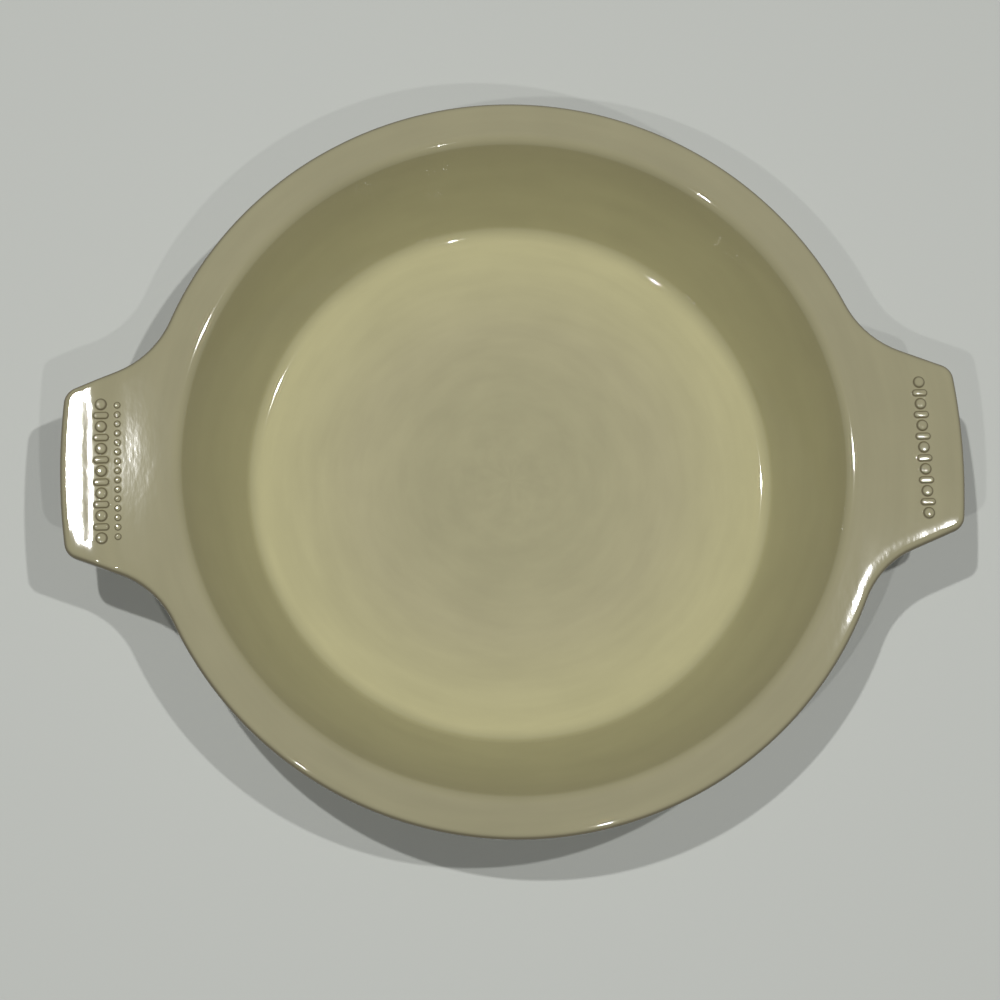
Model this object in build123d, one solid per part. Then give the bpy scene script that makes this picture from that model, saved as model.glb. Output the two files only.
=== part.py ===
from build123d import *
import math
import os

# Round stoneware pie dish with a flat rim and two flared lugs, glazed all over but for the
# ring that it stands on. Millimetres. The origin is the middle of that ring's standing face,
# +Z is up and X runs from lug to lug. Sizes are those of the glazed surface, and the clay
# lies one coat of glaze inside it.

# Bowl
opening_radius = 113.4
inner_depth = 36.0
floor_radius = 91.0
floor_thickness = 5.0
wall_thickness = 6.0
floor_corner_radius = 6.5
heel_radius = 8.0

# Rim
rim_width = 13.6
rim_thickness = 6.0
rim_edge_radius = 2.2
mouth_edge_radius = 4.5
under_rim_radius = 3.0

# Foot ring, set in from where the heel's round meets the underside
foot_height = 1.8
foot_width = 5.5
foot_setback = 2.5
foot_edge_radius = 0.6
foot_root_radius = 0.8

# Lugs, each luted into a seat that is cut in the rim's edge
lug_reach = 26.0
lug_tip_width = 55.6
lug_tip_bow = 1.8
lug_side_angle = 21.7
lug_neck_radius = 32.0
lug_corner_radius = 6.0
lug_seat_depth = 5.0

# Sprigs, which are small mouldings stuck on the lugs under the glaze: a row of beads and reels
# on both lugs, and a row of pearls on the rim's side of it on the left one
bead_row_reach = 12.0
row_end_margin = 3.0
row_gap = 2.2
sprig_gap = 1.2
bead_radius = 1.8
bead_height = 1.0
reel_radius = 0.8
reel_length = 4.4
pearl_radius = 1.0
pearl_height = 0.6

# Glaze, which stops a little above the foot ring's standing face
glaze_thickness = 0.5
glaze_stop_height = 1.0

# How far a cutting tool runs past what it cuts, and the slant past which a face isn't upright
overrun = 10.0
facing_share = 0.1

# Levels, radii and angles that follow from the sizes above
floor_top = foot_height + floor_thickness
rim_top = floor_top + inner_depth
clay_top = rim_top - glaze_thickness
rim_radius = opening_radius + rim_width
seat_radius = rim_radius - lug_seat_depth
tip_radius = rim_radius + lug_reach
bead_row_place = rim_radius + bead_row_reach
pearl_row_place = bead_row_place - reel_length / 2 - row_gap - pearl_radius
row_length = lug_tip_width - 2 * row_end_margin
wall_lean = math.atan2(opening_radius - floor_radius, inner_depth)
heel_run = heel_radius * math.tan((math.pi / 2 - wall_lean) / 2)
side_lean = math.radians(lug_side_angle)


def wall_radius(height, depth):
    """Radius at a height and at a depth into the wall, square to the wall's inner surface."""
    return floor_radius + (height - floor_top) * math.tan(wall_lean) + depth / math.cos(wall_lean)


def round_dish(inset):
    """Floor, wall, rim and foot ring turned in one piece, all but the foot's face set in."""
    floor = floor_top - inset
    top = rim_top - inset
    edge = rim_radius - inset
    under_rim = rim_top - rim_thickness + inset
    under_floor = foot_height + inset
    outer_depth = wall_thickness - inset
    foot_outer = wall_radius(foot_height, wall_thickness) - heel_run - foot_setback
    foot_inner = foot_outer - foot_width
    corners = [
        (0, floor, 0),
        (wall_radius(floor, inset), floor, floor_corner_radius + inset),
        (wall_radius(top, inset), top, mouth_edge_radius - inset),
        (edge, top, rim_edge_radius - inset),
        (edge, under_rim, rim_edge_radius - inset),
        (wall_radius(under_rim, outer_depth), under_rim, under_rim_radius + inset),
        (wall_radius(under_floor, outer_depth), under_floor, heel_radius - inset),
        (foot_outer - inset, under_floor, foot_root_radius + inset),
        (foot_outer - inset, 0, foot_edge_radius),
        (foot_inner + inset, 0, foot_edge_radius),
        (foot_inner + inset, under_floor, foot_root_radius + inset),
        (0, under_floor, 0),
    ]
    points = [(radius, 0, height) for radius, height, rounding in corners]
    rounds = [rounding for radius, height, rounding in corners]
    return revolve(make_face(FilletPolyline(points, radius=rounds, close=True)), Axis.Z)


# The lug's upper half from above: sharp tip corner, and the hollow round that blends its side
# into the rim's edge, which touches both
to_side = Vector(math.sin(side_lean), math.cos(side_lean))
tip_corner = Vector(tip_radius - lug_tip_bow, lug_tip_width / 2)
neck_offset = tip_corner.dot(to_side) + lug_neck_radius
neck_run = math.sqrt((rim_radius + lug_neck_radius) ** 2 - neck_offset**2)
neck_centre = to_side * neck_offset + Vector(to_side.Y, -to_side.X) * neck_run
to_rim = neck_centre.normalized()
seat_angle = math.atan2(neck_centre.Y, neck_centre.X)


def lug_plan(inset):
    """A lug and the round of the rim that it grows from, seen from above."""
    rim_end = to_rim * rim_radius
    neck_middle = neck_centre - (to_rim + to_side).normalized() * lug_neck_radius
    side_end = neck_centre - to_side * lug_neck_radius
    tip = Vector(tip_radius, 0)
    half = [
        Line((0, 0), rim_end),
        ThreePointArc(rim_end, neck_middle, side_end),
        Line(side_end, tip_corner),
    ]
    tip_arc = ThreePointArc(tip_corner, tip, mirrored(tip_corner))
    outline = make_face([*half, *mirror(half, Plane.XZ), tip_arc])
    corners = outline.vertices().sort_by(Axis.X)[-2:]
    plan = Circle(rim_radius) + fillet(corners, lug_corner_radius)
    return offset(plan, -inset)


def mirrored(point):
    """The same point on the other side of the line from lug to lug."""
    return Vector(point.X, -point.Y, point.Z)


def seat_zone():
    """The stretch of the rim's edge that one lug takes the place of, with room above and beyond."""
    reach = tip_radius + overrun
    height = rim_top + overrun
    corner = Vector(reach, reach * math.tan(seat_angle))
    wedge = extrude(make_face(Polyline((0, 0), corner, mirrored(corner), close=True)), height)
    return wedge - extrude(Circle(seat_radius), height)


def looks_outward(face):
    """True of an upright face that looks away from the dish's axis."""
    normal = face.normal_at(face.center())
    place = Vector(face.center().X, face.center().Y)
    return abs(normal.Z) < facing_share and normal.dot(place.normalized()) > facing_share


def lug(inset):
    """The lug on +X, from its seat in the rim to its tip, with its outer edges rounded."""
    slab = extrude(lug_plan(inset), rim_thickness - 2 * inset)
    block = Pos(0, 0, rim_top - rim_thickness + inset) * slab & seat_zone()
    outer = block.faces().filter_by(looks_outward)
    return fillet(outer.edges().filter_by(Axis.Z, reverse=True), rim_edge_radius - inset)


def dome(radius, height, coat):
    """A bead or pearl that stands on the ground plane, thicker all round by its coat."""
    ball = (radius**2 + height**2) / (2 * height)
    return split(Pos(0, 0, height - ball) * Sphere(ball + coat), Plane.XY)


def reel(coat):
    """Half of a round-ended rod that lies along X on the ground plane, thicker by its coat."""
    rod = SlotOverall(reel_length + 2 * coat, 2 * (reel_radius + coat))
    return revolve(split(rod, Plane.XZ, keep=Keep.BOTTOM), Axis.X, 180)


def row_places(step, end_radius):
    """Places along Y, one step apart and centred, that fill the length of a row."""
    count = int((row_length - 2 * end_radius) / step) + 1
    return [(index - (count - 1) / 2) * step for index in range(count)]


def bead_row(coat):
    """Beads with a reel between each two, on the flat of the lug on +X."""
    half_step = bead_radius + sprig_gap + reel_radius
    places = row_places(2 * half_step, bead_radius)
    beads = [Pos(bead_row_place, y, clay_top) * dome(bead_radius, bead_height, coat) for y in places]
    reels = [Pos(bead_row_place, y + half_step, clay_top) * reel(coat) for y in places[:-1]]
    return beads + reels


def pearl_row(coat):
    """A row of pearls between the bead row and the rim, on the lug on +X."""
    places = row_places(2 * pearl_radius + sprig_gap, pearl_radius)
    return [Pos(pearl_row_place, y, clay_top) * dome(pearl_radius, pearl_height, coat) for y in places]


def on_left(shapes):
    """Shapes made for the lug on +X, turned round to the lug on -X."""
    return [Rot(0, 0, 180) * shape for shape in shapes]


def shapes_of(inset, coat):
    """Every piece's shapes by node, at the clay's own surface or grown to the glaze's."""
    lug_zone = seat_zone()
    right_lug = lug(inset)
    right_beads = bead_row(coat)
    return {
        "dish_body": [round_dish(inset).cut(lug_zone, *on_left([lug_zone]))],
        "left_lug": on_left([right_lug]),
        "right_lug": [right_lug],
        "left_bead_row": on_left(right_beads),
        "left_pearl_row": on_left(pearl_row(coat)),
        "right_bead_row": right_beads,
    }


def glaze_on(clay):
    """The coat all over the dish, and the patch of it that the foot ring closes off."""
    first, *others = sum(shapes_of(0, glaze_thickness).values(), [])
    wiped = extrude(Circle(rim_radius), glaze_stop_height)
    coats = first.fuse(*others).cut(*sum(clay.values(), []), wiped)
    patch, coat = coats.solids().sort_by(SortBy.VOLUME)
    return {"glaze_coat": [coat], "recess_glaze": [patch]}


os.makedirs("parts", exist_ok=True)
clay = shapes_of(glaze_thickness, 0)
for node, shapes in {**clay, **glaze_on(clay)}.items():
    export_step(Compound(shapes), f"parts/{node}.step")
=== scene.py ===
import math

import bpy
import numpy as np
from mathutils import Euler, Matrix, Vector, noise


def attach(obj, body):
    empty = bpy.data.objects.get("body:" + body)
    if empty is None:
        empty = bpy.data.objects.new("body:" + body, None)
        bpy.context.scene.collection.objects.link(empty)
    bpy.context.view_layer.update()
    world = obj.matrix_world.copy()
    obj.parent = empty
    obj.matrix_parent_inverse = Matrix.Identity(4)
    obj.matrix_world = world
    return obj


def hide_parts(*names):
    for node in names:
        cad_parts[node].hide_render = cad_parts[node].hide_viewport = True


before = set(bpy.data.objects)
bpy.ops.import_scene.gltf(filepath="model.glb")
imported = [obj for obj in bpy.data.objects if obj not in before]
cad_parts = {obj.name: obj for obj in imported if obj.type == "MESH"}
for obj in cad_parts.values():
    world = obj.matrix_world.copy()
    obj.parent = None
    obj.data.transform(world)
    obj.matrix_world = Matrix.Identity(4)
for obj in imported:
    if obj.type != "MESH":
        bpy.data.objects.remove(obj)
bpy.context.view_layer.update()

# Glazed stoneware pie dish, in metres. The glaze is made here as a closed shell with the soft,
# slightly uneven surface of a fired glaze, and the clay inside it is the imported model's own.

# Bowl, rim and foot ring, as glazed
OPENING_RADIUS = 0.1134
INNER_DEPTH = 0.0360
FLOOR_RADIUS = 0.0910
FLOOR_THICKNESS = 0.0050
WALL_THICKNESS = 0.0060
FLOOR_CORNER_RADIUS = 0.0065
HEEL_RADIUS = 0.0080
RIM_WIDTH = 0.0136
RIM_THICKNESS = 0.0060
RIM_EDGE_RADIUS = 0.0022
MOUTH_EDGE_RADIUS = 0.0045
UNDER_RIM_RADIUS = 0.0030
FOOT_HEIGHT = 0.0018
FOOT_SETBACK = 0.0025
FOOT_ROOT_RADIUS = 0.0008

# How softly the top rolls off before its edge's round. Beside the left lug's hollow it stays level:
# where along the tip's edge that starts past the near corner, and over what length
EDGE_FALL_RADIUS = 0.100
LEVEL_EDGE_START = -0.0225
LEVEL_EDGE_LENGTH = 0.0025

# Lugs
LUG_REACH = 0.0260
LUG_TIP_WIDTH = 0.0556
LUG_TIP_BOW = 0.0018
LUG_SIDE_ANGLE = math.radians(21.7)
LUG_NECK_RADIUS = 0.0320
LUG_CORNER_RADIUS = 0.0060

# How each lug's top falls towards its tip, or rises where the slope is below zero: pairs of a reach
# from the dish's axis and the slope there, which changes evenly between them
LEFT_SLOPES = (
    (0.1130, 0.0), (0.1270, 0.018), (0.1395, 0.0), (0.1415, 0.0), (0.1427, 0.0165),
    (0.1437, 0.032), (0.1447, 0.032), (0.1457, 0.0175), (0.1470, 0.0115), (0.1515, 0.0075),
)
RIGHT_SLOPES = (
    (0.1130, 0.0), (0.1190, 0.019), (0.1300, 0.016), (0.1380, 0.0), (0.1420, 0.0),
    (0.1470, -0.024), (0.1500, -0.033),
)
SLOPE_STATIONS = 400

# The left lug's top is hollow across near its tip: the hollow's radius, its middle line, the reach
# at which it starts, and the length over which it grows to its full depth
HOLLOW_RADIUS = 1.00
HOLLOW_MIDDLE = 0.0007
HOLLOW_START = 0.1330
HOLLOW_LENGTH = 0.0090

# Sprigs under the glaze
BEAD_ROW_REACH = 0.0120
ROW_END_MARGIN = 0.0030
ROW_GAP = 0.0022
SPRIG_GAP = 0.0012
BEAD_RADIUS = 0.0018
BEAD_HEIGHT = 0.0010
REEL_RADIUS = 0.0008
REEL_LENGTH = 0.0044
PEARL_RADIUS = 0.0010
PEARL_HEIGHT = 0.0006

# As the glaze covers them: the radius of their nearly flat crowns and the lean at which those end,
# their steepest lean, the hollow round at their foot, and the skirt round that
BEAD_CROWN_RADIUS = 0.0230
REEL_CROWN_RADIUS = 0.0100
PEARL_CROWN_RADIUS = 0.0130
CROWN_LEAN = math.radians(2)
SPRIG_LEAN = math.radians(60)
BEAD_FLARE_RADIUS = 0.0007
PEARL_FLARE_RADIUS = 0.0005
SKIRT = 0.0001

# Glaze: its thickness, its rounded end above the foot, and the slow waves in its surface
GLAZE_THICKNESS = 0.0005
GLAZE_STOP_HEIGHT = 0.0010
GLAZE_LIP_HEIGHT = 0.00035
WAVE_LENGTH = 0.021
WAVE_DEPTH = 0.00004

# Streaks and mottles in the glaze's colour: how much the streaks change round the axis and how wide
# they are, how fine the mottles are, the fineness of the detail in both, and the least share of
# its colour that the glaze keeps in each
STREAK_TURN = 2.5
STREAK_WIDTH = 0.005
STREAK_DETAIL = 3
STREAK_SHARE = 0.935
MOTTLE_SCALE = 45
MOTTLE_DETAIL = 4
MOTTLE_SHARE = 0.955

# The levels of noise at which a shade is fullest and at which it ends
SHADE_FULL = 0.3
SHADE_END = 0.7

# How glossy the glaze is, and the fine unevenness of its surface, longer along than across
GLAZE_ROUGHNESS = 0.04
GLAZE_IOR = 1.5
PEEL_SCALE = 200
PEEL_DETAIL = 3
PEEL_STRETCH = 0.4
PEEL_DEPTH = 0.00003

# How level a place is where the glaze is full and unshaded, and where it has run thin and is fully darkened
# with painted shade
FULL_UNSHADED_LEVEL = 0.95
THIN_SHADED_LEVEL = 0.60

# The clay's sandy grain, and the levels of noise at which it is darkest and at which it is clear
CLAY_ROUGHNESS = 0.82
GRAIN_SCALE = 900
GRAIN_DETAIL = 6
GRAIN_DEPTH = 0.00008
GRAIN_SHARE = 0.72
GRAIN_DARKEST = 0.35
GRAIN_CLEAR = 0.6

# Levels, depths, radii and angles that follow
FLOOR_TOP = FOOT_HEIGHT + FLOOR_THICKNESS
RIM_TOP = FLOOR_TOP + INNER_DEPTH
RIM_UNDER = RIM_TOP - RIM_THICKNESS
RIM_RADIUS = OPENING_RADIUS + RIM_WIDTH
TIP_RADIUS = RIM_RADIUS + LUG_REACH
BEAD_ROW_PLACE = RIM_RADIUS + BEAD_ROW_REACH
PEARL_ROW_PLACE = BEAD_ROW_PLACE - REEL_LENGTH / 2 - ROW_GAP - PEARL_RADIUS
ROW_LENGTH = LUG_TIP_WIDTH - 2 * ROW_END_MARGIN
WALL_LEAN = math.atan2(OPENING_RADIUS - FLOOR_RADIUS, INNER_DEPTH)
HEEL_RUN = HEEL_RADIUS * math.tan((math.pi / 2 - WALL_LEAN) / 2)
SKIRT_DROP = SKIRT / 10
SPRIG_SINK = GLAZE_THICKNESS / 2

# How deep in the wall and the floor the bowl's colour starts, pooled glaze with painted light on it, and how
# deep it is full
WALL_COLOUR_START = WALL_THICKNESS / 2
WALL_COLOUR_FULL = WALL_THICKNESS / 6
FLOOR_COLOUR_START = FLOOR_THICKNESS / 2
FLOOR_COLOUR_FULL = FLOOR_THICKNESS / 6

# Mesh fineness: the longest cells on the glaze's surface and on its clay side, how far the surface
# and the outline turn per cell, the steps round the glaze's end, and a sprig's spokes and turn
CELL = 0.0028
CLAY_SIDE_CELL = 0.0085
ARC_STEP = math.radians(5)
OUTLINE_STEP = math.radians(8)
LIP_STEPS = 5
SPRIG_SPOKES = 28
SPRIG_STEP = math.radians(7)

# The short cell that keeps a straight run flat at each end, the most of the run that it may take,
# and the shortest run that gets cells at all
GUARD = 0.0003
LARGEST_GUARD_SHARE = 0.12
SHORTEST_RUN = 0.00001

# How far in from the outline the rings run beside it and how many of them are on the flat, where
# round ones start past a corner, how many cells lie between the two kinds, and the radius of the
# hole that each fan of faces closes
EDGE_BAND = 0.0056
BAND_RINGS = 6
RIM_START = 0.0016
RIM_CELLS = 38
MIDDLE_HOLE = 0.0006

# Colours, as linear red, green and blue, and how much more or less of each the glaze shows in the bowl,
# by radius, where it pools and painted light brightens it most beside the floor's corner, and on
# sharp edges, where it is thin and painted shade darkens it
GLAZE_COLOUR = (0.308, 0.285, 0.173)
BOWL_POOL_AND_LIGHT_SHARES = (
    (0.000, (1.15, 1.16, 1.15)),
    (0.030, (1.15, 1.16, 1.15)),
    (0.055, (1.25, 1.25, 1.24)),
    (0.080, (1.38, 1.39, 1.28)),
    (0.088, (1.40, 1.41, 1.28)),
    (0.094, (1.25, 1.26, 1.12)),
    (0.104, (1.13, 1.14, 1.01)),
    (0.111, (1.04, 1.04, 0.94)),
    (0.116, (1.00, 1.00, 1.00)),
)
THIN_GLAZE_AND_SHADE_SHARES = (0.50, 0.46, 0.42)
CLAY_COLOUR = (0.47, 0.38, 0.26)

# The round floor that the dish stands on, and the backdrop of the same colour
STAGE_REACH = 0.90
STAGE_COLOUR = (0.50, 0.515, 0.485)
STAGE_ROUGHNESS = 0.7
STAGE_SHINE = 0.2

# Light: how high the lamps hang above the rim and how wide they are, and for each its share of
# full level and how far it hangs across and along for each metre of height
LAMP_HEIGHT = 1.5
LAMP_WIDTH = 0.036
LAMPS = {
    "lamp_near_right": (0.12, 0.221, -0.509),
    "lamp_near_left": (0.13, -0.382, -0.370),
    "lamp_far_left": (0.41, -0.258, 0.225),
    "lamp_far_right": (0.33, 0.346, 0.098),
}

# The even fill: its level overhead, and how steeply light has to come down to be part of it and
# to be full
FILL_LEVEL = 0.05
FILL_LOW = 0.1
FILL_HIGH = 0.9

# Camera, where the photograph was taken from: its sensor and lens in millimetres, its nearest
# distance and its place in metres, and its turn in degrees
SENSOR_WIDTH = 36.0
LENS = 79.2
NEAREST = 0.01
CAMERA_PLACE = (-0.04896, -0.15453, 0.76655)
CAMERA_TURN = (11.103, -2.916, -2.338)


# The section of the dish

def wall_radius(height, depth=0.0):
    """Radius at a height and at a depth into the wall, square to the wall's inner surface."""
    return FLOOR_RADIUS + (height - FLOOR_TOP) * math.tan(WALL_LEAN) + depth / math.cos(WALL_LEAN)


def rounded(corners, cell):
    """Points along a run of (across, up, rounding) corners, each corner rounded by an arc."""
    spots = [Vector(corner[:2]) for corner in corners]
    path = [spots[0]]
    for before, spot, after, corner in zip(spots, spots[1:], spots[2:], corners[1:-1]):
        radius = corner[2]
        back = (before - spot).normalized()
        ahead = (after - spot).normalized()
        turn = math.pi - back.angle(ahead)
        run = radius * math.tan(turn / 2)
        centre = spot + (back + ahead).normalized() * (radius / math.cos(turn / 2))
        add_run(path, spot + back * run, cell)
        first = (path[-1] - centre).normalized()
        last = (spot + ahead * run - centre).normalized()
        steps = math.ceil(turn / ARC_STEP)
        for step in range(1, steps + 1):
            share = step / steps
            spoke = (first * math.sin((1 - share) * turn) + last * math.sin(share * turn)) / math.sin(turn)
            path.append(centre + spoke * radius)
    add_run(path, spots[-1], cell)
    return path


def add_run(path, end, cell):
    """A straight run to a point, in even cells, with a short one at each end to keep it flat."""
    start = path[-1]
    length = (end - start).length
    if length < SHORTEST_RUN:
        return
    steps = math.ceil(length / cell)
    guard = min(LARGEST_GUARD_SHARE, GUARD / length)
    shares = sorted({step / steps for step in range(1, steps + 1)} | {guard, 1 - guard})
    path.extend(start.lerp(end, share) for share in shares)


# The outline from above

def dish_outline():
    """The whole glazed outline, one turn from the right lug's tip: places and ways out."""
    lean = LUG_SIDE_ANGLE
    square = Vector((math.sin(lean), math.cos(lean)))
    along = Vector((square.y, -square.x))
    half_width = LUG_TIP_WIDTH / 2
    corner = Vector((TIP_RADIUS - LUG_TIP_BOW, half_width))

    # The neck's hollow round touches the side and the rim's edge
    neck_offset = corner.dot(square) + LUG_NECK_RADIUS
    neck_run = math.sqrt((RIM_RADIUS + LUG_NECK_RADIUS) ** 2 - neck_offset**2)
    neck = square * neck_offset + along * neck_run
    rim_end = math.atan2(neck.y, neck.x)
    side_end = neck - square * LUG_NECK_RADIUS

    # The corner's round touches the side and the bowed tip from within
    bow_radius = (half_width**2 + LUG_TIP_BOW**2) / (2 * LUG_TIP_BOW)
    bow_centre = Vector((TIP_RADIUS - bow_radius, 0))
    inner_side = square * (corner.dot(square) - LUG_CORNER_RADIUS)
    inner_bow = bow_radius - LUG_CORNER_RADIUS
    base = inner_side - bow_centre
    reach = -base.dot(along) + math.sqrt(base.dot(along) ** 2 - base.length_squared + inner_bow**2)
    round_centre = inner_side + along * reach
    bow_end = math.asin(round_centre.y / inner_bow)
    side_start = round_centre + square * LUG_CORNER_RADIUS
    side_cells = math.ceil((side_end - side_start).length / CELL)

    quarter = arc(bow_centre, bow_radius, 0, bow_end, CELL / bow_radius)
    quarter += arc(round_centre, LUG_CORNER_RADIUS, bow_end, math.pi / 2 - lean, OUTLINE_STEP)
    quarter += [(side_start.lerp(side_end, step / side_cells), square) for step in range(side_cells)]
    neck_arc = arc(neck, LUG_NECK_RADIUS, 3 * math.pi / 2 - lean, math.pi + rim_end, CELL / LUG_NECK_RADIUS)
    quarter += [(place, -facing) for place, facing in neck_arc]
    quarter += arc(Vector((0, 0)), RIM_RADIUS, rim_end, math.pi / 2, CELL / RIM_RADIUS)
    quarter.append((Vector((0, RIM_RADIUS)), Vector((0, 1))))
    upper = quarter + mirrored(quarter[-2::-1], -1, 1)
    return upper + mirrored(upper[-2:0:-1], 1, -1)


def arc(centre, radius, start, end, step):
    """Points round an arc from its start up to, but not with, its end, and the spoke of each."""
    cells = math.ceil(abs(end - start) / step)
    angles = [start + (end - start) * cell / cells for cell in range(cells)]
    spokes = [Vector((math.cos(angle), math.sin(angle))) for angle in angles]
    return [(centre + spoke * radius, spoke) for spoke in spokes]


def mirrored(stretch, across, along):
    """Places and ways out of a stretch of outline, reflected in one or both axes."""
    flip = Vector((across, along))
    return [(place * flip, facing * flip) for place, facing in stretch]


outline = dish_outline()
edge_places = np.array([place[:] for place, facing in outline])
edge_facings = np.array([facing[:] for place, facing in outline])
inner_band = edge_places - edge_facings * EDGE_BAND
spokes = inner_band / np.linalg.norm(inner_band, axis=1)[:, None]


# The surface

def smooth_step(value):
    """From 0 to 1 without a corner as the value does the same."""
    share = np.clip(value, 0, 1)
    return share * share * (3 - 2 * share)


def fallen(slopes):
    """How far a lug's top has fallen at each of the reaches, from its slope at some of them."""
    steps = np.interp(reaches, *zip(*slopes)) * (reaches[1] - reaches[0])
    return np.cumsum(steps) - steps[0]


reaches = np.linspace(OPENING_RADIUS, TIP_RADIUS, SLOPE_STATIONS)
left_fallen = fallen(LEFT_SLOPES)
right_fallen = fallen(RIGHT_SLOPES)


def lug_sag(across, along):
    """How far a lug's top lies below the rim's level."""
    fall = np.interp(-across, reaches, left_fallen) + np.interp(across, reaches, right_fallen)
    hollow = (along - HOLLOW_MIDDLE) ** 2 / (2 * HOLLOW_RADIUS)
    return fall - hollow * smooth_step((-across - HOLLOW_START) / HOLLOW_LENGTH)


def wave(place):
    """How deep the glaze's slow waves lie below its highest surface, at a place."""
    level = noise.noise(Vector(place) / WAVE_LENGTH)
    return WAVE_DEPTH * (1 + level) / 2


def offset_ring(distance, height):
    """A ring that runs beside the outline, so far inside it."""
    ring = edge_places - edge_facings * distance
    return np.column_stack([ring, np.full(len(ring), height)])


def round_ring(radius, height):
    """A ring round the dish's axis, with its points on the same spokes as the edge's."""
    return np.column_stack([spokes * radius, np.full(len(spokes), height)])


def edge_round(inset):
    """The rings over the rim's outer edge, from its top round to its underside."""
    radius = RIM_EDGE_RADIUS - inset
    top = RIM_TOP - inset
    under = RIM_UNDER + inset
    steps = math.ceil(math.pi / 2 / ARC_STEP)
    band = list(np.linspace(EDGE_BAND, RIM_EDGE_RADIUS + GUARD, BAND_RINGS))
    turns = [math.pi / 2 * step / steps for step in range(steps + 1)]
    upper = [(distance, top) for distance in band]
    upper += [(inset + radius * (1 - math.sin(t)), top - radius * (1 - math.cos(t))) for t in turns]
    lower = [(inset + radius * (1 - math.cos(t)), under + radius * (1 - math.sin(t))) for t in turns]
    lower += [(distance, under) for distance in reversed(band)]
    rings = [offset_ring(distance, level) for distance, level in upper + lower]
    if not inset:
        for ring, (distance, level) in zip(rings, upper):
            ring[:, 2] -= edge_fall(ring[:, 0], ring[:, 1], distance)
    return rings


def edge_fall(across, along, distance):
    """How far the glaze's top rolls off towards the edge, but not beside the left lug's hollow."""
    fall = (EDGE_BAND - distance) ** 2 / (2 * EDGE_FALL_RADIUS)
    at_tip = smooth_step((-across - HOLLOW_START) / HOLLOW_LENGTH)
    past_corner = smooth_step((along - LEVEL_EDGE_START) / LEVEL_EDGE_LENGTH)
    return fall * (1 - at_tip * past_corner)


def rings_between(inner, outer):
    """Rings that lie between two others."""
    return [inner + (outer - inner) * step / RIM_CELLS for step in range(1, RIM_CELLS)]


def shell_rings(inset, cell, lowest):
    """All rings of the dish's skin, from the middle of the floor over the rim to a level below."""
    floor = FLOOR_TOP - inset
    top = RIM_TOP - inset
    under = RIM_UNDER + inset
    belly = FOOT_HEIGHT + inset
    outer = WALL_THICKNESS - inset
    foot = wall_radius(FOOT_HEIGHT, WALL_THICKNESS) - HEEL_RUN - FOOT_SETBACK - inset
    inside = rounded([
        (MIDDLE_HOLE, floor, 0),
        (wall_radius(floor, inset), floor, FLOOR_CORNER_RADIUS + inset),
        (wall_radius(top, inset), top, MOUTH_EDGE_RADIUS - inset),
        (wall_radius(top, inset) + MOUTH_EDGE_RADIUS + RIM_START, top, 0),
    ], cell)
    outside = rounded([
        (wall_radius(under, outer) + UNDER_RIM_RADIUS + RIM_START, under, 0),
        (wall_radius(under, outer), under, UNDER_RIM_RADIUS + inset),
        (wall_radius(belly, outer), belly, HEEL_RADIUS - inset),
        (foot, belly, FOOT_ROOT_RADIUS + inset),
        (foot, GLAZE_STOP_HEIGHT, 0),
    ], cell)
    inner = [round_ring(spot.x, spot.y) for spot in inside]
    edge = edge_round(inset)
    lower = [round_ring(spot.x, spot.y) for spot in outside if spot.y >= lowest]
    return inner + rings_between(inner[-1], edge[0]) + edge + rings_between(edge[-1], lower[0]) + lower


def settled(rings):
    """The glaze's own rings, sunk a little square to the surface by its waves and the lugs' sag."""
    grid = np.array(rings)
    around = np.roll(grid, -1, axis=1) - np.roll(grid, 1, axis=1)
    outward = np.cross(np.gradient(grid, axis=0), around)
    outward /= np.linalg.norm(outward, axis=2)[:, :, None]
    depths = np.array([[wave(place) for place in ring] for ring in grid])
    grid -= outward * depths[:, :, None]
    share = smooth_step((grid[:, :, 2] - RIM_UNDER) / RIM_THICKNESS)
    grid[:, :, 2] -= share * lug_sag(grid[:, :, 0], grid[:, :, 1])
    return list(grid)


def glaze_lip(start, end):
    """The rings of a glaze's rounded end, between its last outer ring and the clay's."""
    shares = [step / LIP_STEPS for step in range(1, LIP_STEPS)]
    rings = [start + (end - start) * share for share in shares]
    for ring, share in zip(rings, shares):
        drop = math.sin(math.pi / 2 * share)
        ring[:, 2] = start[:, 2] + (end[:, 2] - start[:, 2]) * drop
    return rings


def ring_faces(rings, count, first=0):
    """Quads between rings of so many points, and a fan over each end about a middle after them."""
    faces = []
    for ring in range(rings - 1):
        low = first + ring * count
        high = low + count
        faces += [
            (low + spot, high + spot, high + (spot + 1) % count, low + (spot + 1) % count)
            for spot in range(count)
        ]
    top = first + rings * count
    last = top - count
    faces += [(top, first + spot, first + (spot + 1) % count) for spot in range(count)]
    faces += [(top + 1, last + (spot + 1) % count, last + spot) for spot in range(count)]
    return faces


def closed_points(rings):
    """The points of rings, then the middle of the first ring and that of the last."""
    return np.vstack([*rings, rings[0].mean(axis=0), rings[-1].mean(axis=0)])


def new_piece(name, points, faces, material, slot, *nodes):
    """A smooth piece with its material, in the place of the named nodes; the slot it is given is not used.
    """
    mesh = bpy.data.meshes.new(name)
    mesh.from_pydata(points.tolist(), [], faces)
    mesh.validate()
    mesh.shade_smooth()
    mesh.materials.append(material)
    piece = bpy.data.objects.new(name, mesh)
    bpy.context.scene.collection.objects.link(piece)
    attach(piece, "root")
    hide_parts(*nodes)
    return piece


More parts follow.
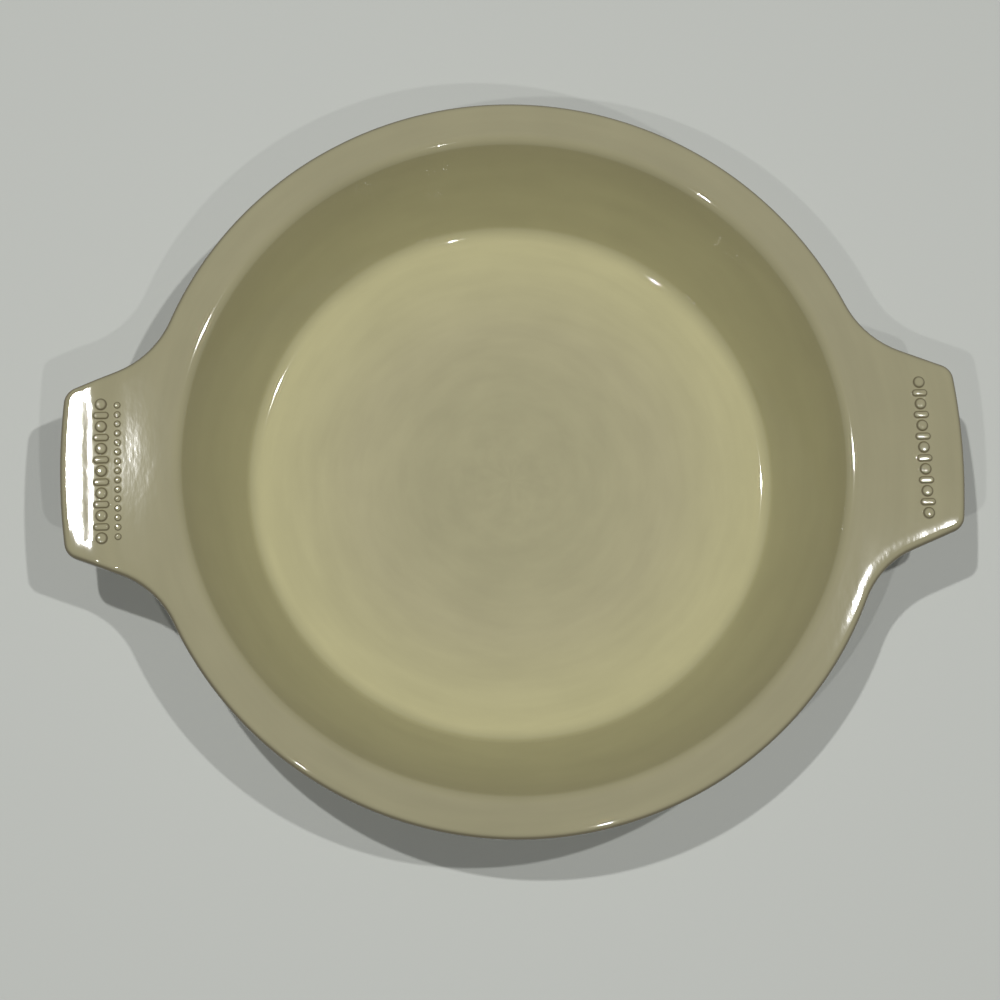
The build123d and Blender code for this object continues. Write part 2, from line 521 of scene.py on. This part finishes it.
def add_glaze(material):
    """The coat all over the dish: its surface, its end above the foot, and its clay side."""
    surface = settled(shell_rings(0, CELL, GLAZE_STOP_HEIGHT + GLAZE_LIP_HEIGHT))
    clay_side = shell_rings(GLAZE_THICKNESS, CLAY_SIDE_CELL, 0)
    rings = surface + glaze_lip(surface[-1], clay_side[-1]) + clay_side[::-1]
    faces = ring_faces(len(rings), len(spokes))
    new_piece("glaze", closed_points(rings), faces, material, "glaze", "glaze_coat")


# The sprigs, each a dome or a round-ended rod whose foot flares into the glaze

def sprig_rings(crown, height, flare, half_run=0):
    """Rings from a sprig's nearly flat crown over its shoulder and flare to the glaze around it."""
    crown_drop = crown * (1 - math.cos(CROWN_LEAN))
    flare_drop = flare * (1 - math.cos(SPRIG_LEAN))
    shoulder = (height - crown_drop - flare_drop) / (math.cos(CROWN_LEAN) - math.cos(SPRIG_LEAN))
    profile = arc_down((0, height), crown, 0, CROWN_LEAN)
    profile += arc_down(profile[-1], shoulder, CROWN_LEAN, SPRIG_LEAN)
    profile += arc_down(profile[-1], flare, SPRIG_LEAN, 0)
    skirt = profile[-1][0] + SKIRT
    profile += [(skirt, -SKIRT_DROP), (skirt, -SPRIG_SINK)]
    angles = (np.arange(SPRIG_SPOKES) + 0.5) / SPRIG_SPOKES * 2 * math.pi
    ends = np.sign(np.cos(angles)) * half_run
    rings = []
    for radius, level in profile:
        across = ends + radius * np.cos(angles)
        along = radius * np.sin(angles)
        rings.append(np.column_stack([across, along, np.full(SPRIG_SPOKES, level)]))
    return rings


def arc_down(place, radius, lean, last_lean):
    """Points down an arc from a place, as (out, down) spots where its lean changes evenly."""
    steps = math.ceil(abs(last_lean - lean) / SPRIG_STEP) + 1
    side = math.copysign(radius, last_lean - lean)
    leans = [lean + (last_lean - lean) * step / steps for step in range(1, steps + 1)]
    return [
        (place[0] + side * (math.sin(t) - math.sin(lean)), place[1] - side * (math.cos(lean) - math.cos(t)))
        for t in leans
    ]


def row_places(step, end_radius):
    """Places along a row, one step apart and centred, that fill its length."""
    count = int((ROW_LENGTH - 2 * end_radius) / step) + 1
    return [(index - (count - 1) / 2) * step for index in range(count)]


def bead_row():
    """Beads with a reel between each two, as rings with the place along the row of each."""
    half_step = BEAD_RADIUS + SPRIG_GAP + REEL_RADIUS
    places = row_places(2 * half_step, BEAD_RADIUS)
    bead = sprig_rings(BEAD_CROWN_RADIUS, BEAD_HEIGHT, BEAD_FLARE_RADIUS)
    reel = sprig_rings(REEL_CROWN_RADIUS, REEL_RADIUS, BEAD_FLARE_RADIUS, REEL_LENGTH / 2 - REEL_RADIUS)
    return [(bead, place) for place in places] + [(reel, place + half_step) for place in places[:-1]]


def pearl_row():
    """A row of pearls, as rings with the place along the row of each."""
    pearl = sprig_rings(PEARL_CROWN_RADIUS, PEARL_HEIGHT, PEARL_FLARE_RADIUS)
    return [(pearl, place) for place in row_places(2 * PEARL_RADIUS + SPRIG_GAP, PEARL_RADIUS)]


def add_sprigs(name, sprigs, across, material, node):
    """A row of sprigs at a distance across the dish, each set on the glaze's surface there."""
    points = []
    faces = []
    for rings, along in sprigs:
        faces += ring_faces(len(rings), SPRIG_SPOKES, sum(len(part) for part in points))
        part = closed_points(rings) + (across, along, RIM_TOP)
        part[:, 2] -= [lug_sag(x, y) + wave((x, y, RIM_TOP)) for x, y, z in part]
        points.append(part)
    new_piece(name, np.vstack(points), faces, material, "glaze", node)


# Materials

# A mix node's places for two colours and for what they give
MIX_FIRST, MIX_SECOND, MIX_RESULT = 6, 7, 2


def set_inputs(tree, node, inputs):
    """Gives inputs of a node a value, or a link where that comes out of another node."""
    for key, value in inputs.items():
        if isinstance(value, bpy.types.NodeSocket):
            tree.links.new(value, node.inputs[key])
        else:
            node.inputs[key].default_value = value


def node_adder(tree):
    """A function that adds a node to a tree, with a value or a link for each input it is given."""
    def add(kind, inputs=(), **settings):
        node = tree.nodes.new(kind)
        for key, value in settings.items():
            setattr(node, key, value)
        set_inputs(tree, node, dict(inputs))
        return node
    return add


def new_material(name, inputs):
    """A material with values or links for its shader's inputs, from a function that adds nodes."""
    material = bpy.data.materials.new(name)
    material.use_nodes = True
    tree = material.node_tree
    set_inputs(tree, tree.nodes["Principled BSDF"], inputs(node_adder(tree)))
    return material


def ramp(add, position, stops):
    """Colours along a value from 0 to 1, given as (position, colour) stops."""
    node = add("ShaderNodeValToRGB", {"Fac": position})
    elements = node.color_ramp.elements

    # New stops may stand anywhere, since each gets its own spot below
    while len(elements) < len(stops):
        elements.new(0.5)
    for element, (spot, colour) in zip(elements, stops):
        element.position = spot
        element.color = (*colour, 1)
    return node.outputs["Color"]


def tinted(colour, shares):
    """A colour with its red, green and blue each made more or less."""
    return [level * share for level, share in zip(colour, shares)]


def range_share(add, value, start, end):
    """A smooth 0 to 1 as a value goes from a start to an end."""
    span = {"Value": value, "From Min": start, "From Max": end}
    return add("ShaderNodeMapRange", span, interpolation_type="SMOOTHSTEP").outputs["Result"]


def product(add, first, second):
    """Two values or vectors multiplied."""
    return add("ShaderNodeVectorMath", {0: first, 1: second}, operation="MULTIPLY").outputs["Vector"]


def upward_part(add, vector):
    """How far a vector reaches up."""
    return add("ShaderNodeSeparateXYZ", {0: vector}).outputs["Z"]


def mixed(add, share, first, second):
    """A first colour that gives way to a second one as a share goes from 0 to 1."""
    mix = {"Factor": share, MIX_FIRST: first, MIX_SECOND: second}
    return add("ShaderNodeMix", mix, data_type="RGBA").outputs[MIX_RESULT]


def cloudy(add, place, scale, detail):
    """Smooth noise over places, from 0 to 1 but mostly near the middle."""
    clouds = {"Vector": place, "Scale": scale, "Detail": detail}
    return add("ShaderNodeTexNoise", clouds).outputs["Fac"]


def shade(add, level, least):
    """A grey to darken a colour by, from the least share where noise is low to 1 where it is high."""
    return ramp(add, level, [(SHADE_FULL, (least, least, least)), (SHADE_END, (1, 1, 1))])


def bumped(add, height, depth):
    """The way a surface faces where a height from 0 to 1 makes it rise by up to a depth."""
    bump = {"Strength": 1.0, "Distance": depth, "Height": height}
    return add("ShaderNodeBump", bump).outputs["Normal"]


def glaze_inputs(add):
    """Glossy cream glaze, mottled, streaky round the axis, fuller in the bowl with painted light, painted
    shade on edges.
    """
    coordinates = add("ShaderNodeTexCoord").outputs
    place = coordinates["Object"]
    across = product(add, place, (1, 1, 0))
    radius = add("ShaderNodeVectorMath", {0: across}, operation="LENGTH").outputs["Value"]
    height = upward_part(add, place)

    # How deep a place lies in the wall and the floor tells the bowl from the rim and the outside
    section = add("ShaderNodeCombineXYZ", {"X": radius, "Y": height}).outputs["Vector"]
    into_wall = (math.cos(WALL_LEAN), -math.sin(WALL_LEAN), 0)
    depth = add("ShaderNodeVectorMath", {0: section, 1: into_wall}, operation="DOT_PRODUCT").outputs["Value"]
    surface = into_wall[0] * FLOOR_RADIUS + into_wall[1] * FLOOR_TOP
    inside = range_share(add, depth, surface + WALL_COLOUR_START, surface + WALL_COLOUR_FULL)
    above = range_share(add, height, FLOOR_TOP - FLOOR_COLOUR_START, FLOOR_TOP - FLOOR_COLOUR_FULL)
    in_bowl = product(add, inside, above)

    # Pooled glaze with painted light: the bowl is made lighter by radius, most beside the floor's corner
    stops = [(spot / RIM_RADIUS, tinted(GLAZE_COLOUR, shares)) for spot, shares in BOWL_POOL_AND_LIGHT_SHARES]
    spread = add("ShaderNodeMath", {0: radius, 1: RIM_RADIUS}, operation="DIVIDE").outputs["Value"]
    colour = mixed(add, in_bowl, (*GLAZE_COLOUR, 1), ramp(add, spread, stops))

    # Steep places out on the rim and the lugs are their edges and the sprigs' sides: their glaze is thin,
    # and they are darkened with painted shade where they turn away from the lamps overhead
    upright = upward_part(add, coordinates["Normal"])
    level = add("ShaderNodeMath", {0: upright}, operation="ABSOLUTE").outputs["Value"]
    steep = range_share(add, level, FULL_UNSHADED_LEVEL, THIN_SHADED_LEVEL)
    far_out = range_share(add, radius, RIM_RADIUS - 2 * EDGE_BAND, RIM_RADIUS - EDGE_BAND)
    thin_and_shaded = mixed(add, product(add, steep, far_out), (1, 1, 1, 1), (*THIN_GLAZE_AND_SHADE_SHARES, 1))

    # Streaks that run round the axis, from noise over the way out and the radius
    out = add("ShaderNodeVectorMath", {0: across}, operation="NORMALIZE").outputs["Vector"]
    rise = add("ShaderNodeCombineXYZ", {"Z": radius}).outputs["Vector"]
    turned = product(add, out, (STREAK_TURN, STREAK_TURN, 0))
    ringed = product(add, rise, (0, 0, 1 / STREAK_WIDTH))
    path = add("ShaderNodeVectorMath", {0: turned, 1: ringed}).outputs["Vector"]
    streaky = shade(add, cloudy(add, path, 1, STREAK_DETAIL), STREAK_SHARE)
    mottled = shade(add, cloudy(add, place, MOTTLE_SCALE, MOTTLE_DETAIL), MOTTLE_SHARE)

    stretched = product(add, place, (1, PEEL_STRETCH, 1))
    return {
        "Base Color": product(add, product(add, product(add, colour, thin_and_shaded), streaky), mottled),
        "Roughness": GLAZE_ROUGHNESS,
        "IOR": GLAZE_IOR,
        "Normal": bumped(add, cloudy(add, stretched, PEEL_SCALE, PEEL_DETAIL), PEEL_DEPTH),
    }


def stoneware_inputs(add):
    """Bare fired stoneware: matte, sandy and finely speckled."""
    place = add("ShaderNodeTexCoord").outputs["Object"]
    grain = cloudy(add, place, GRAIN_SCALE, GRAIN_DETAIL)
    dark = tinted(CLAY_COLOUR, (GRAIN_SHARE, GRAIN_SHARE, GRAIN_SHARE))
    return {
        "Base Color": ramp(add, grain, [(GRAIN_DARKEST, dark), (GRAIN_CLEAR, CLAY_COLOUR)]),
        "Roughness": CLAY_ROUGHNESS,
        "Normal": bumped(add, grain, GRAIN_DEPTH),
    }


def floor_inputs(add):
    """A plain pale matte floor."""
    return {
        "Base Color": (*STAGE_COLOUR, 1),
        "Roughness": STAGE_ROUGHNESS,
        "Specular IOR Level": STAGE_SHINE,
    }


def dress(node, material):
    """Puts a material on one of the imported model's own pieces."""
    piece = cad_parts[node]
    piece.data.materials.clear()
    piece.data.materials.append(material)


# Floor, light and camera

def add_floor():
    """The round floor that the dish stands on."""
    mesh = bpy.data.meshes.new("floor")
    edge = arc(Vector((0, 0)), STAGE_REACH, 0, 2 * math.pi, ARC_STEP)
    mesh.from_pydata([(*place, 0) for place, spoke in edge], [], [range(len(edge))])
    mesh.materials.append(new_material("floor", floor_inputs))
    floor = bpy.data.objects.new("floor", mesh)
    bpy.context.scene.collection.objects.link(floor)


def add_lamp(name, level, across, along):
    """A small round lamp that lights a level white surface in the mouth's middle to a share of white."""
    offset = Vector((across, along, 1)) * LAMP_HEIGHT
    toward = offset.normalized()
    lamp = bpy.data.lights.new(name, "AREA")
    lamp.shape = "DISK"
    lamp.size = LAMP_WIDTH
    lamp.energy = level * math.pi**2 * offset.length_squared / toward.z
    holder = bpy.data.objects.new(name, lamp)
    holder.location = offset + Vector((0, 0, RIM_TOP))
    holder.rotation_euler = toward.to_track_quat("Z", "Y").to_euler()
    bpy.context.scene.collection.objects.link(holder)


def add_world():
    """Dim even light from overhead that fades to the horizon, and a pale backdrop to be seen."""
    world = bpy.data.worlds.new("studio")
    bpy.context.scene.world = world
    world.use_nodes = True
    tree = world.node_tree
    add = node_adder(tree)
    rise = upward_part(add, add("ShaderNodeTexCoord").outputs["Generated"])
    share = range_share(add, rise, FILL_LOW, FILL_HIGH)
    fill = product(add, share, (FILL_LEVEL, FILL_LEVEL, FILL_LEVEL))

    # The camera sees the backdrop, straight or mirrored, and only the fill lights matte surfaces
    rays = add("ShaderNodeLightPath").outputs
    passed = {0: rays["Is Glossy Ray"], 1: rays["Is Transmission Ray"]}
    passed_on = add("ShaderNodeMath", passed, operation="MAXIMUM").outputs["Value"]
    looked = {0: rays["Is Camera Ray"], 1: passed_on}
    seen = add("ShaderNodeMath", looked, operation="MAXIMUM").outputs["Value"]
    colour = mixed(add, seen, fill, (*STAGE_COLOUR, 1))
    tree.links.new(colour, tree.nodes["Background"].inputs["Color"])


def add_camera():
    """The photograph's view: nearly straight down, a little from the near left."""
    lens = bpy.data.cameras.new("camera")
    lens.sensor_width = SENSOR_WIDTH
    lens.lens = LENS
    lens.clip_start = NEAREST
    camera = bpy.data.objects.new("camera", lens)
    camera.location = CAMERA_PLACE
    camera.rotation_euler = Euler([math.radians(angle) for angle in CAMERA_TURN])
    bpy.context.scene.collection.objects.link(camera)
    bpy.context.scene.camera = camera


glaze = new_material("cream_glaze", glaze_inputs)
stoneware = new_material("bare_stoneware", stoneware_inputs)
for node in ("dish_body", "left_lug", "right_lug"):
    dress(node, stoneware)
dress("recess_glaze", glaze)
add_glaze(glaze)
add_sprigs("left_bead_sprigs", bead_row(), -BEAD_ROW_PLACE, glaze, "left_bead_row")
add_sprigs("left_pearl_sprigs", pearl_row(), -PEARL_ROW_PLACE, glaze, "left_pearl_row")
add_sprigs("right_bead_sprigs", bead_row(), BEAD_ROW_PLACE, glaze, "right_bead_row")

add_floor()
for name, settings in LAMPS.items():
    add_lamp(name, *settings)
add_world()
add_camera()
bpy.context.scene.view_settings.view_transform = "Standard"
